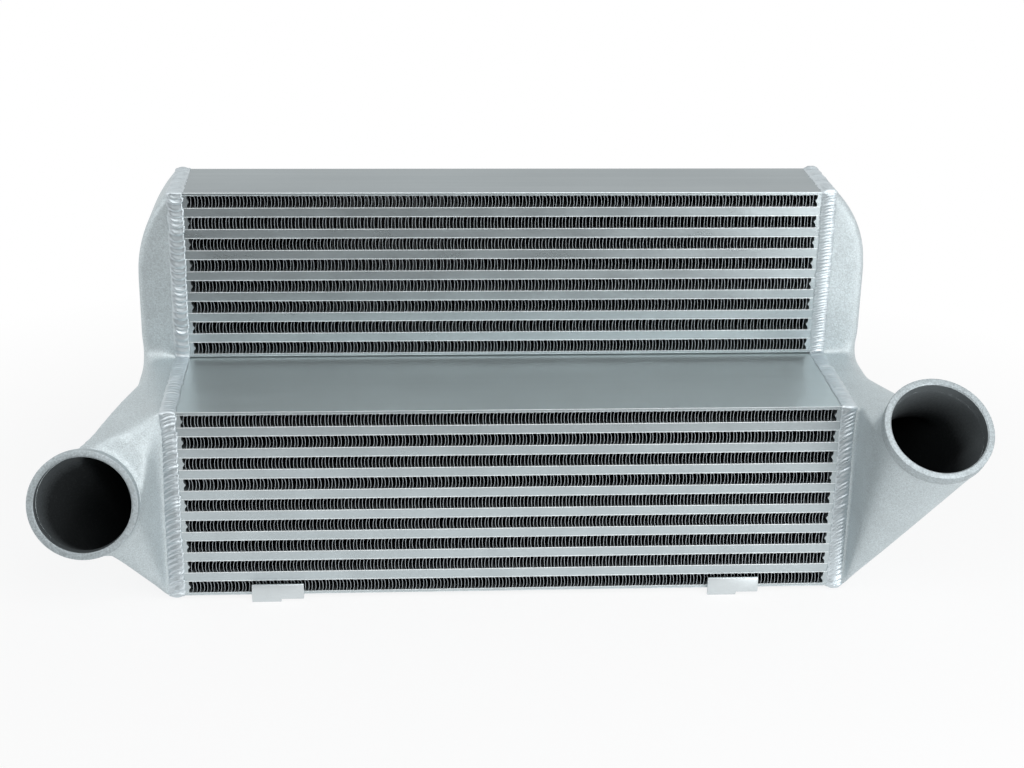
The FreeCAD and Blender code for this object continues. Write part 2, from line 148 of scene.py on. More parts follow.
# The thin line of metal along a bead's edge on the core: height, place and width across the bead
BEAD_LIP = 0.4 * MM
BEAD_LIP_PLACE = -0.86
BEAD_LIP_WIDTH = 0.07

# End tanks: the castings are remeshed from the CAD form, after their walls are thickened inwards.
# SIGHT_LINES start at each face, round its normal, to find the outer faces: more than FREE_SHARE of
# their lines hit nothing. RIM_REACH is the width of the rim at the joint.
CAST_VOXEL = 1.8 * MM
WALL_SPARE = 2.0 * MM
SIGHT_LINES = 80
SIGHT_SPREAD = 0.95
FREE_SHARE = 0.08
TOUCH = 0.05 * MM
RIM_REACH = 3.0 * MM

# Their smoothing, in rounds, and where it works. A pair is the place at which it starts and the
# way over which it grows to its full strength. PORT_GUARD_RADIUS is in radii of the port.
CAST_SMOOTHING = 45
CORNER_SMOOTHING = 160
SMOOTHING_STEP = 0.6
LEAST_SMOOTHING = 0.01
SIDE_POWER = 1.2
SIDE_SOFTENING = (2.0 * MM, 26.0 * MM)
TOP_SOFTENING = (12.0 * MM, 15.0 * MM)
TOP_EDGE = (2.0 * MM, 4.0 * MM)
FRONT_SOFTENING = (14.0 * MM, 20.0 * MM)
FRONT_EDGE = (5.0 * MM, 9.0 * MM)
BROW_SOFTENING = (8.0 * MM, 12.0 * MM)
BROW_EDGE = (3.0 * MM, 6.0 * MM)
LEDGE_EDGE = {"left": (9.0 * MM, 8.0 * MM), "right": (18.0 * MM, 8.0 * MM)}
LEDGE_HEIGHT = 9.0 * MM
PORT_SOFTENING = (11.0 * MM, 16.5 * MM)
PORT_GUARD_RADIUS = 1.4

# Two sharp spots that get more smoothing: the outer corner at the back of the ledge, and the brow
# at the front of the flare. How far they lie out from the joint, back from the core's front or
# below the ledge, and how far the smoothing reaches round them
CORNER_OUT = {"left": 31.3 * MM, "right": 33.0 * MM}
CORNER_BACK = 71.0 * MM
BROW_OUT = 16.0 * MM
BROW_DROP = 26.0 * MM
SPOT_REACH = 24.0 * MM

# Ports: the turned ring's length, bore, eased edges and steps round, how far behind the mouth the
# bore's painted shade grows to full dark, the small steps at the ring's root and how far it reaches
# into the casting. The ring stays RING_SPARE inside the part's box. The card that closes the mouth
# is PORT_CARD bores wide.
PORT_LENGTH = 10.0 * MM
PORT_BORE = 36.0 * MM
PORT_EASE = 1.0 * MM
PORT_TURNS = 128
BORE_SHADE_FADE = {"left": 22.0 * MM, "right": 42.0 * MM}
ROOT_STEP = 0.5 * MM
RING_OVERLAP = 0.5 * MM
RING_SPARE = 0.03 * MM
RING_CREASE = 35
PORT_CARD = 1.5

# The cavity breaks out beside the right pipe, and a rod along this line closes the wall there
PATCH_LINE = ((0.3365, -0.0645, 0.1553), (0.3462, -0.0850, 0.1545))
PATCH_RADIUS = 3.4 * MM
PATCH_SIDES = 12

# Studio: the floor's half width, where the shadow on it fades out, how white it is near the part,
# the dark card (near edge, far edge, half width and height) and its lift, and the world's own light
FLOOR_REACH = 12.0
SHADOW_REACH = (0.45, 0.8)
FLOOR_GLOW = 0.85
DARK_CARD = (-0.38, -2.6, 3.0, 1.8)
DARK_CARD_LIFT = 2.0 * MM
WORLD_LIGHT = 0.4


def node_box(name):
    """Lowest and highest corner of a CAD node, as vectors."""
    low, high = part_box(name)
    return Vector(low), Vector(high)


def mount(name):
    """Place, axis and radius of a mount of the record."""
    row = next(row for row in frame["record"]["mounts"] if row["name"] == name)
    return Vector(row["pos_m"]), Vector(row["axis"]).normalized(), row["dims"]["r_mm"] * MM


def new_mesh(name, points, faces):
    """A mesh from lists of points and faces, with its normals outward."""
    mesh = bpy.data.meshes.new(name)
    mesh.from_pydata(points, [], faces)
    work = bmesh.new()
    work.from_mesh(mesh)
    bmesh.ops.recalc_face_normals(work, faces=work.faces)
    work.to_mesh(mesh)
    work.free()
    return mesh


def band(here, there, width):
    """Faces between two closed rows of points, by the numbers of the rows' first points."""
    pairs = [(number, (number + 1) % width) for number in range(width)]
    return [(here + one, here + other, there + other, there + one) for one, other in pairs]


def add_object(name, data):
    """A new object of the scene."""
    thing = bpy.data.objects.new(name, data)
    bpy.context.scene.collection.objects.link(thing)
    return thing


def add_piece(name, mesh, material, nodes, smooth_angle=None):
    """A piece that stands for the given CAD nodes, if any, and rides on the part."""
    piece = add_object(name, mesh)
    mesh.materials.clear()
    mesh.materials.append(material)
    if smooth_angle is not None:
        mesh.shade_smooth()
        mesh.set_sharp_from_angle(angle=math.radians(smooth_angle))
    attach(piece, "root")
    if nodes:
        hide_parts(*nodes)
    return piece


def apply_modifiers(piece):
    """Turns a piece's modifiers into plain mesh."""
    bpy.context.view_layer.update()
    graph = bpy.context.evaluated_depsgraph_get()
    mesh = bpy.data.meshes.new_from_object(piece.evaluated_get(graph))
    piece.modifiers.clear()
    piece.data = mesh


# Materials

METALLIC = 0.75
GRAIN_DEPTH = 0.25 * MM

# The clouds in the gloss: their scale against that of the colour, and their reach below and above
GLOSS_SCALE = 3.1
GLOSS_REACH = (0.03, 0.05)

# The hollows with painted shade: the scale and reach of their grains, and the scale and range of
# their roughness
HOLLOW_GRAINS = (700.0, 0.06)
HOLLOW_GLOSS = (300.0, 0.45, 0.65)


def start_material(name, color, metallic, roughness):
    """A material with its shader's even values set on the sockets."""
    material = bpy.data.materials.new(name)
    material.use_nodes = True
    nodes = material.node_tree.nodes
    shader = nodes["Principled BSDF"]
    shader.inputs["Base Color"].default_value = (*color, 1.0)
    shader.inputs["Metallic"].default_value = metallic
    shader.inputs["Roughness"].default_value = roughness
    return material, shader


def add_noise(material, scale, detail=3.0, stretch=(1.0, 1.0, 1.0)):
    """A noise over the object's own space. Scale is in waves a metre."""
    nodes = material.node_tree.nodes
    links = material.node_tree.links
    place = nodes.new("ShaderNodeTexCoord")
    mapping = nodes.new("ShaderNodeMapping")
    mapping.inputs["Scale"].default_value = stretch
    noise = nodes.new("ShaderNodeTexNoise")
    noise.inputs["Scale"].default_value = scale
    noise.inputs["Detail"].default_value = detail
    links.new(place.outputs["Object"], mapping.inputs["Vector"])
    links.new(mapping.outputs["Vector"], noise.inputs["Vector"])
    return noise.outputs["Fac"]


def add_range(material, value, low, high, from_low=0.3, from_high=0.7):
    """Stretches a value to a range."""
    remap = material.node_tree.nodes.new("ShaderNodeMapRange")
    remap.inputs["From Min"].default_value = from_low
    remap.inputs["From Max"].default_value = from_high
    remap.inputs["To Min"].default_value = low
    remap.inputs["To Max"].default_value = high
    material.node_tree.links.new(value, remap.inputs["Value"])
    return remap.outputs["Result"]


def add_tint(material, value, dark, light):
    """A colour between two, by a value from 0 to 1."""
    mix = material.node_tree.nodes.new("ShaderNodeMix")
    mix.data_type = "RGBA"
    mix.inputs["A"].default_value = (*dark, 1.0)
    mix.inputs["B"].default_value = (*light, 1.0)
    material.node_tree.links.new(value, mix.inputs["Factor"])
    return mix.outputs["Result"]


def add_bump(material, shader, height, strength, distance):
    """Bump from a height value."""
    bump = material.node_tree.nodes.new("ShaderNodeBump")
    bump.inputs["Strength"].default_value = strength
    bump.inputs["Distance"].default_value = distance
    material.node_tree.links.new(height, bump.inputs["Height"])
    material.node_tree.links.new(bump.outputs["Normal"], shader.inputs["Normal"])


def scaled(color, factor):
    """A colour made lighter or darker."""
    return tuple(min(1.0, part * factor) for part in color)


def aluminium(name, color, roughness, mottle_scale, mottle, grain_scale, grain,
              stretch=(1.0, 1.0, 1.0), speckle=0.0):
    """Bare aluminium: cloudy colour and gloss, and a fine grain in relief and in colour."""
    material, shader = start_material(name, color, METALLIC, roughness)
    links = material.node_tree.links
    fine = add_noise(material, grain_scale, 3.0, stretch)
    clouds = add_range(material, add_noise(material, mottle_scale, 4.0), 0.0, 1.0)
    tint = add_tint(material, clouds, scaled(color, 1.0 - mottle), scaled(color, 1.0 + mottle))
    if speckle:
        grains = add_range(material, fine, 1.0 - speckle, 1.0 + speckle)
        shade = material.node_tree.nodes.new("ShaderNodeVectorMath")
        shade.operation = "SCALE"
        links.new(tint, shade.inputs[0])
        links.new(grains, shade.inputs["Scale"])
        tint = shade.outputs["Vector"]
    links.new(tint, shader.inputs["Base Color"])
    clouds = add_noise(material, mottle_scale * GLOSS_SCALE, 4.0, stretch)
    gloss = add_range(material, clouds, roughness - GLOSS_REACH[0], roughness + GLOSS_REACH[1])
    links.new(gloss, shader.inputs["Roughness"])
    add_bump(material, shader, fine, grain, GRAIN_DEPTH)
    return material


PLATE_STRETCH = (0.1, 4.0, 4.0)
BAR_STRETCH = (0.3, 1.0, 1.0)

# Name, colour, roughness, clouds a metre and their strength, grains a metre and their relief, how
# the grains are stretched, and how much they change the colour
CAST = aluminium("cast_aluminium", (0.54, 0.60, 0.62), 0.55, 45.0, 0.04, 950.0, 1.0, speckle=0.16)
TURNED = aluminium("turned_aluminium", (0.43, 0.48, 0.50), 0.60, 60.0, 0.05, 700.0, 0.9,
                   speckle=0.20)
# A darker copy of the plate metal for the upper top plate: painted shade on its upward face
SHADED_TOP_PLATE = aluminium("top_aluminium_painted_shade", (0.28, 0.325, 0.34), 0.33, 9.0, 0.05, 160.0, 0.04, PLATE_STRETCH)
SHELF = aluminium("shelf_aluminium", (0.52, 0.585, 0.595), 0.33, 9.0, 0.03, 160.0, 0.02,
                  PLATE_STRETCH)
BAR = aluminium("bar_aluminium", (0.49, 0.55, 0.57), 0.30, 30.0, 0.05, 900.0, 0.08,
                BAR_STRETCH, 0.04)
# A lighter copy of the bar metal: painted highlight on sheet edges, eased edges and grooves
EDGE_HIGHLIGHT = aluminium("sheet_edge_painted_highlight", (0.86, 0.90, 0.91), 0.50, 60.0, 0.08, 900.0, 0.2)
WELD = aluminium("weld_aluminium", (0.58, 0.64, 0.67), 0.42, 120.0, 0.08, 1200.0, 0.15)
FOLDED = aluminium("folded_aluminium", (0.63, 0.675, 0.69), 0.40, 40.0, 0.04, 900.0, 0.15)


def shaded_material(name, lit_color, shade_color, metallic, gloss_level):
    """A material that fades from one colour to a darker one by the mesh's own depth values: painted
    shade.
    """
    material, shader = start_material(name, lit_color, metallic, 0.5)
    shader.inputs["Specular IOR Level"].default_value = gloss_level
    links = material.node_tree.links
    depth = material.node_tree.nodes.new("ShaderNodeAttribute")
    depth.attribute_name = "depth"
    fade = add_range(material, depth.outputs["Fac"], 0.0, 1.0, 0.0, 1.0)
    scale, reach = HOLLOW_GRAINS
    grains = add_range(material, add_noise(material, scale), -reach, reach)
    total = material.node_tree.nodes.new("ShaderNodeMath")
    total.use_clamp = True
    links.new(fade, total.inputs[0])
    links.new(grains, total.inputs[1])
    tint = add_tint(material, total.outputs["Value"], lit_color, shade_color)
    links.new(tint, shader.inputs["Base Color"])
    scale, least, most = HOLLOW_GLOSS
    gloss = add_range(material, add_noise(material, scale), least, most)
    links.new(gloss, shader.inputs["Roughness"])
    return material


# Fin metal whose colour is painted dark behind its open faces: painted shade in the passages
FIN_WITH_SHADE = shaded_material("fin_aluminium_painted_shade", (0.52, 0.57, 0.60), (0.02, 0.021, 0.022), 0.6, 0.3)
# The inside of the tanks and bores: painted shade, darker the deeper it lies behind the mouth
INNER_SHADE = shaded_material("inner_casting_painted_shade", (0.12, 0.135, 0.142), (0.017, 0.019, 0.020), 0.0, 0.03)
HIDDEN = aluminium("hidden_sheet", (0.4, 0.42, 0.43), 0.5, 40.0, 0.05, 600.0, 0.1)


# Air fins

def fin_stations(depth):
    """Places along a fold, close together at the two open faces of the core."""
    front = list(FIN_STATIONS)
    back = [depth - station for station in reversed(FIN_STATIONS)]
    return front + back


def make_fin(node, seed):
    """One wavy fin strip as a closed folded sheet."""
    low, high = node_box(node)
    chance = random.Random(seed)
    length = high.x - low.x
    depth = high.y - low.y
    walls = int(length / FIN_WALL_PITCH)
    pitch = length / walls
    bow = chance.choice((-1, 1)) * chance.uniform(*FIN_BOW) * MM
    bow_turn = chance.uniform(-FIN_BOW_TURN, FIN_BOW_TURN)
    bow_length = chance.uniform(*FIN_BOW_LENGTH)
    paired = chance.uniform(-1, 1) * FIN_SHIFT
    lean = chance.uniform(-1, 1) * FIN_SHIFT
    wave_start = chance.uniform(0, 2 * math.pi)
    half_metal = FIN_METAL / 2
    floor = low.z + half_metal
    rise = high.z - low.z - FIN_METAL

    profile = []
    for wall in range(walls):
        rising = wall % 2 == 0
        side = 1 if rising else -1
        middle = low.x + (wall + 0.5) * pitch + side * paired + chance.uniform(-1, 1) * FIN_SHIFT
        swing = bow * math.cos(math.pi * (wall * pitch / bow_length + bow_turn))
        swing *= chance.uniform(*FIN_BOW_CHANGE)
        tilt = lean * side + chance.uniform(-1, 1) * FIN_SHIFT
        for share in FIN_PROFILE:
            up = share if rising else 1.0 - share
            along = middle + (share - 0.5) * 2 * FIN_TIP * pitch
            along += 4 * share * (1 - share) * swing + (up - 0.5) * tilt
            profile.append((along, floor + rise * up))

    stations = fin_stations(depth)
    points = []
    shades = []
    count = len(profile)
    for station in stations:
        wave = FIN_WAVE * math.sin(2 * math.pi * station / FIN_WAVE_LENGTH + wave_start)
        # Painted shade: the fin's colour darkens with depth behind the open faces
        inner = min(station, depth - station)
        shade = min(1.0, inner / FIN_BRIGHT_DEPTH)
        for lift in (-half_metal, half_metal):
            for index, (along, up) in enumerate(profile):
                before = profile[max(index - 1, 0)]
                after = profile[min(index + 1, count - 1)]
                run = Vector((after[0] - before[0], after[1] - before[1])).normalized()
                points.append((along + wave - run.y * lift, low.y + station, up + run.x * lift))
                shades.append(shade)
    faces = []
    layer = 2 * count
    for number in range(len(stations) - 1):
        here = number * layer
        there = here + layer
        for index in range(count - 1):
            faces.append((here + index, here + index + 1, there + index + 1, there + index))
            faces.append((here + count + index, there + count + index,
                          there + count + index + 1, here + count + index + 1))
        for index in (0, count - 1):
            faces.append((here + index, there + index, there + count + index, here + count + index))
    for base in (0, (len(stations) - 1) * layer):
        for index in range(base, base + count - 1):
            faces.append((index, index + count, index + count + 1, index + 1))
    mesh = new_mesh(node + "_wavy", points, faces)
    layer_values = mesh.attributes.new("depth", "FLOAT", "POINT")
    layer_values.data.foreach_set("value", shades)
    add_piece(node + "_wavy", mesh, FIN_WITH_SHADE, [node], FIN_CREASE)


# Bars, tubes and plates

def extrude_profile(node, outline, hollow=None):
    """A closed outline in the YZ plane, swept over the node's width, with a hollow or without."""
    low, high = node_box(node)
    count = len(outline)
    loops = []
    points = []
    for along in (low.x, high.x):
        loops.append(len(points))
        points.extend((along, y, z) for y, z in outline)
        if hollow:
            (y0, z0), (y1, z1) = hollow
            loops.append(len(points))
            points.extend((along, min(max(y, y0), y1), min(max(z, z0), z1)) for y, z in outline)
    if hollow:
        ring = (loops[0], loops[2], loops[3], loops[1])
        bands = [band(here, there, count) for here, there in zip(ring, ring[1:] + ring[:1])]
        faces = [face for group in zip(*bands) for face in group]
    else:
        faces = band(0, count, count) + [tuple(range(count)), tuple(range(count, 2 * count))]
    mesh = new_mesh(node + "_banded", points, faces)
    work = bmesh.new()
    work.from_mesh(mesh)
    bmesh.ops.remove_doubles(work, verts=work.verts, dist=OWN_MERGE)
    bmesh.ops.recalc_face_normals(work, faces=work.faces)
    work.to_mesh(mesh)
    work.free()
    return mesh


def mark_edges(mesh, low, high, bands):
    """Gives the second material, a lighter painted highlight, to the front and back faces within
    given bands of height.
    """
    near = 2 * BAR_SETBACK
    for face in mesh.polygons:
        at_end = face.center.y < low.y + near or face.center.y > high.y - near
        in_band = any(bottom < face.center.z < top for bottom, top in bands)
        face.material_index = 1 if at_end and in_band else 0


def make_tube(node):
    """A charge tube: two thin sheets whose edges stand a little proud of the bars between them."""
    low, high = node_box(node)
    bottom, top = low.z, high.z
    front = [
        (SHEET_EASE, bottom), (0.0, bottom + SHEET_EASE), (0.0, bottom + SHEET - SHEET_EASE),
        (BAR_SETBACK, bottom + SHEET), (BAR_SETBACK, top - SHEET),
        (0.0, top - SHEET + SHEET_EASE), (0.0, top - SHEET_EASE), (SHEET_EASE, top)]
    outline = [(low.y + back, up) for back, up in front]
    outline.extend((high.y - back, up) for back, up in reversed(front))
    hollow = ((low.y + BAR_DEPTH, bottom + SHEET), (high.y - BAR_DEPTH, top - SHEET))
    mesh = extrude_profile(node, outline, hollow)
    add_piece(node + "_banded", mesh, BAR, [node])
    # The sheet edges at the front and back get the painted highlight
    mesh.materials.append(EDGE_HIGHLIGHT)
    mark_edges(mesh, low, high, ((bottom, bottom + SHEET), (top - SHEET, top)))


def make_plate(node, mirrored):
    """A side plate with a fine groove near its lower edge. One carries the upper core's land.

    A mirrored plate has its rounder edge below.
    """
    low, high = node_box(node)
    carries_upper = node == "lower_top_plate"
    top = high.z - LAND_HEIGHT if carries_upper else high.z
    seam = top - SHEET if mirrored else low.z + SHEET
    front = [
        (SHEET_EASE, low.z), (0.0, low.z + SHEET_EASE), (0.0, seam - PLATE_GROOVE),
        (2 * PLATE_GROOVE, seam), (0.0, seam + PLATE_GROOVE), (0.0, top - PLATE_EASE),
        (SHOULDER * PLATE_EASE, top - SHOULDER * PLATE_EASE), (PLATE_EASE, top)]
    if mirrored:
        front = [(back, low.z + top - up) for back, up in reversed(front)]
    outline = [(low.y + back, up) for back, up in front]
    if carries_upper:
        land = node_box("upper_bottom_plate")[0].y + LAND_SETBACK
        outline.extend(((land, top), (land, high.z), (high.y - PLATE_EASE, high.z)))
    outline.extend((high.y - back, up) for back, up in reversed(front))
    mesh = extrude_profile(node, outline)
    # The upper top plate takes the darker copy of the plate metal, a painted shade
    add_piece(node + "_banded", mesh, SHADED_TOP_PLATE if node == "upper_top_plate" else SHELF, [node])
    mesh.materials.append(BAR)
    mesh.materials.append(EDGE_HIGHLIGHT)
    # Fronts and backs take the bar metal, and the groove and eased edges take the painted highlight
    for face in mesh.polygons:
        if abs(face.normal.y) > FRONT_FACING:
            face.material_index = 1
        elif abs(face.normal.y) > EDGE_FACING:
            face.material_index = 2


def make_end_bars(node):
    """The bars that close one end of a core's air rows, with a small pointed nose each."""
    low, high = node_box(node)
    fin = node.split("_")[0] + "_air_fin_"
    rows = sum(1 for name in frame["nodes"] if name.startswith(fin))
    inward = 1 if "left" in node else -1
    outer = low.x if inward > 0 else high.x
    flat = (high.x - low.x) - END_BAR_NOSE
    fin_low, fin_high = node_box(fin + "1")
    height = fin_high.z - fin_low.z
    pitch = (high.z - low.z - height) / (rows - 1)
    points = []
    faces = []
    for row in range(rows):
        bottom = low.z + row * pitch
        outline = [
            (0.0, 0.0), (flat, 0.0), (flat, (0.5 - END_BAR_NOSE_SHARE) * height),
            (flat + END_BAR_NOSE, 0.5 * height), (flat, (0.5 + END_BAR_NOSE_SHARE) * height),
            (flat, height), (0.0, height)]
        count = len(outline)
        base = len(points)
        for along in (low.y, high.y):
            points.extend((outer + inward * out, along, bottom + up) for out, up in outline)
        faces.extend(band(base, base + count, count))
        faces.append(tuple(range(base, base + count)))
        faces.append(tuple(range(base + count, base + 2 * count)))
    mesh = new_mesh(node + "_nosed", points, faces)
    add_piece(node + "_nosed", mesh, BAR, [node])


def make_bracket(node):
    """A folded bracket: its CAD form with eased edges."""
    mesh = frame["nodes"][node].data.copy()
    piece = add_piece(node + "_eased", mesh, FOLDED, [node])
    work = bmesh.new()
    work.from_mesh(mesh)
    bmesh.ops.remove_doubles(work, verts=work.verts, dist=CAD_MERGE)
    flat = math.radians(BRACKET_FLAT)
    bmesh.ops.dissolve_limit(work, angle_limit=flat, verts=work.verts, edges=work.edges)
    work.to_mesh(mesh)
    work.free()
    ease = piece.modifiers.new("ease", "BEVEL")
    ease.width = BRACKET_EASE
    ease.segments = 2
    ease.limit_method = "ANGLE"
    ease.angle_limit = math.radians(BRACKET_EDGE)
    apply_modifiers(piece)
    piece.data.shade_smooth()
    piece.data.set_sharp_from_angle(angle=math.radians(BRACKET_CREASE))


# Weld beads

def rounded_path(corners, radius, steps_wanted):
    """A closed path in the YZ plane: rows of place, outward normal and way so far, and its length."""
    rows = []
    count = len(corners)
    walked = 0.0
    for index in range(count):
        corner = Vector(corners[index])
        before = (corner - Vector(corners[index - 1])).normalized()
        after = (Vector(corners[(index + 1) % count]) - corner).normalized()
        start = corner - before * radius
        centre = start + after * radius
        steps = max(LEAST_TURN_STEPS, round(radius * math.pi / 2 / steps_wanted[index]))
        for number in range(steps + 1):
            turn = math.pi / 2 * number / steps
            place = centre - after * radius * math.cos(turn) + before * radius * math.sin(turn)
            run = before * math.cos(turn) + after * math.sin(turn)
            rows.append((place, Vector((run.y, -run.x)), walked + radius * turn))
        walked += radius * math.pi / 2
        following = Vector(corners[(index + 1) % count])
        length = (following - corner).length - 2 * radius
        exit_place = corner + after * radius
        steps = max(1, round(length / steps_wanted[index]))
        for number in range(1, steps):
            on = length * number / steps
            rows.append((exit_place + after * on, Vector((after.y, -after.x)), walked + on))
        walked += length
    return rows, walked


def step_corners():
    """Corners of the stacked cores in the YZ plane, in order round the joint."""
    low, high = node_box("lower_bottom_plate")
    roof_low, roof_high = node_box("upper_top_plate")
    shelf = node_box("upper_bottom_plate")[0].z - LAND_HEIGHT
    return [
        (low.y, low.z),
        (high.y, low.z),
        (high.y, roof_high.z),
        (roof_low.y, roof_high.z),
        (roof_low.y, shelf),
        (low.y, shelf)]


# Each run of a bead, in order from the bottom of the front: where its ridge lies across the joint
# (-1 on the core, 1 on the tank), its height in millimetres, the pitch of its ripples, how far they
# bow and slant in millimetres, and how deep they are as a share of the height.
PLAIN_RUN = (0.1, 2.0, 3.8, 2.2, 0.0, 0.35)
BEAD_RUNS = {
    "left": {
        "upper_front": (0.20, 2.2, 4.6, -3.0, 1.0, 0.42),
        "shelf": (0.25, 1.7, 4.5, 2.0, 0.5, 0.25),
        "lower_front": (-0.20, 2.3, 4.2, 1.6, -2.6, 0.55)},
    "right": {
        "upper_front": (0.35, 2.3, 2.5, 1.4, 1.8, 0.42),
        "shelf": (0.25, 1.7, 4.5, 2.0, -0.5, 0.25),
        "lower_front": (-0.15, 2.1, 3.6, 0.8, 3.4, 0.55)}}
RUN_ORDER = ("bottom", "back", "top", "upper_front", "shelf", "lower_front")
FRONT_RUNS = ("upper_front", "shelf", "lower_front")


def run_style(side_name, run, share_left):
    """The style of a run, eased into the next one over its last tenth."""
    runs = BEAD_RUNS[side_name]
    own = runs.get(RUN_ORDER[run], PLAIN_RUN)
    following = runs.get(RUN_ORDER[(run + 1) % len(RUN_ORDER)], PLAIN_RUN)
    mix = max(0.0, 1.0 - share_left / RUN_BLEND) / 2
    return [first * (1 - mix) + second * mix for first, second in zip(own, following)]


def ripple_marks(side_name, lengths, total, chance):
    """The places along the path at which one ripple ends and the next one starts."""
    marks = [RIPPLE_START]
    while marks[-1] < total + RIPPLE_SPARE:
        run, _ = run_at(max(marks[-1], 0.0), lengths)
        pitch = BEAD_RUNS[side_name].get(RUN_ORDER[run], PLAIN_RUN)[2] * MM
        marks.append(marks[-1] + pitch * chance.uniform(*RIPPLE_PITCHES))
    return marks


def across_joint(share):
    """How far outwards of the joint a place on a bead lies, from -1 (core) to 1 (tank)."""
    return share * (BEAD_INNER + BEAD_OUTER) / 2 + (BEAD_OUTER - BEAD_INNER) / 2


def make_bead(side_name, joint):
    """A weld bead, rippled like a row of overlapping scales."""
    corners = step_corners()
    steps = [BEAD_FINE_STEP if run in FRONT_RUNS else BEAD_STEP for run in RUN_ORDER]
    rows, total = rounded_path(corners, BEAD_TURN, steps)
    corners = [Vector(corner) for corner in corners]
    following = corners[1:] + corners[:1]
    lengths = [(there - here).length for here, there in zip(corners, following)]
    side = SIDES[side_name]
    chance = random.Random(BEAD_SEED + side)
    marks = ripple_marks(side_name, lengths, total, chance)
    lifts = [chance.uniform(*RIPPLE_HEIGHTS) for _ in marks]
    inward, outward = RIPPLE_WANDER
    edges = [(chance.uniform(inward, outward), chance.uniform(-outward, -inward)) for _ in marks]
    points = []
    faces = []
    width = BEAD_COLUMNS + 3
    for place, normal, walked in rows:
        near = min((place - corner).length for corner in corners)
        lump = 1.0 + CORNER_LUMP * bell(near, CORNER_LUMP_REACH)
        run, share_left = run_at(walked, lengths)
        ridge, height, _, bow, slant, depth = run_style(side_name, run, share_left)
        for column in range(BEAD_COLUMNS + 1):
            share = 2.0 * column / BEAD_COLUMNS - 1.0
            curved = walked + (bow * (1.0 - share ** 2) + slant * share) * MM
            index = min(max(bisect.bisect_right(marks, curved), 1), len(marks) - 1)
            part = (curved - marks[index - 1]) / (marks[index] - marks[index - 1])
            scale = min(part / RIPPLE_RISE, (1.0 - part) / (1.0 - RIPPLE_RISE))
            scale = scale * scale * (3.0 - 2.0 * scale)
            across = (share - ridge) / (1.0 + ridge if share < ridge else 1.0 - ridge)
            dome = (1.0 - abs(across) ** BEAD_DOME[0]) ** BEAD_DOME[1]
            lift = height * MM * lump * dome * (1.0 - depth * (1.0 - scale)) * lifts[index - 1]
            lift += BEAD_LIP * bell(share - BEAD_LIP_PLACE, BEAD_LIP_WIDTH)
            wander = edges[index - 1][0] if share < 0 else edges[index - 1][1]
            spread = across_joint(share) + wander * share ** 2 * (1 - part * RIPPLE_FADE)
            spot = place + normal * min(lift, BEAD_TOP)
            points.append((joint + side * spread, spot.x, spot.y))
        keel, sunk = BEAD_KEEL
        spot = place - normal * sunk
        for share in (keel, -keel):
            points.append((joint + side * across_joint(share), spot.x, spot.y))
    for row in range(len(rows)):
        faces.extend(band(row * width, (row + 1) % len(rows) * width, width))
    mesh = new_mesh(side_name + "_rippled_bead", points, faces)
    add_piece(side_name + "_rippled_bead", mesh, WELD, ["weld_beads"], BEAD_CREASE)


def run_at(walked, lengths):
    """The run of the path that a place lies in, and the share of the run that is left."""
    for run, length in enumerate(lengths):
        if walked < length:
            return run, 1.0 - walked / length
        walked -= length
    return len(lengths) - 1, 0.0


# End tanks

